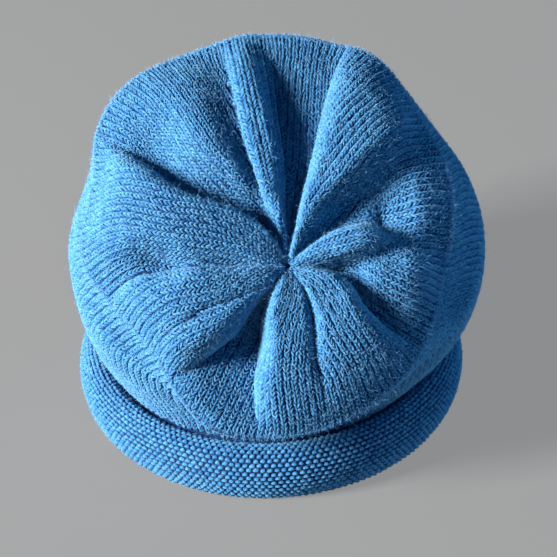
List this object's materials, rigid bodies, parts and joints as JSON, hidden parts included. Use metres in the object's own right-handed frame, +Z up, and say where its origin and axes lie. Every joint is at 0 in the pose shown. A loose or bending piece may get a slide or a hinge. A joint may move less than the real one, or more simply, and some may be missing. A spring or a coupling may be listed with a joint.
{
  "type": "slouchy knit hat",
  "caption": "Slouchy knitted hat of thick soft yarn, its crown drawn together into deep radial folds at the back, with a rolled brim.",
  "frame": {"origin": "under the middle of the hat's bounding box, on the surface that its rolled brim rests on", "axes": "+Z up, the hat's front towards -Y, its left side towards +X, the drawn-together middle of its crown facing up and back (+Y)"},
  "size_m": [0.2061, 0.227, 0.1748],
  "materials": {
    "crown_knit": "plain knit, soft and slightly hairy",
    "wall_knit": "plain knit, soft and slightly hairy",
    "brim_knit": "reverse side of plain knit, rolled outwards"
  },
  "bodies": {
    "root": {"crown": "crown_knit", "side_wall": "wall_knit", "rolled_brim": "brim_knit"}
  },
  "joints": []
}
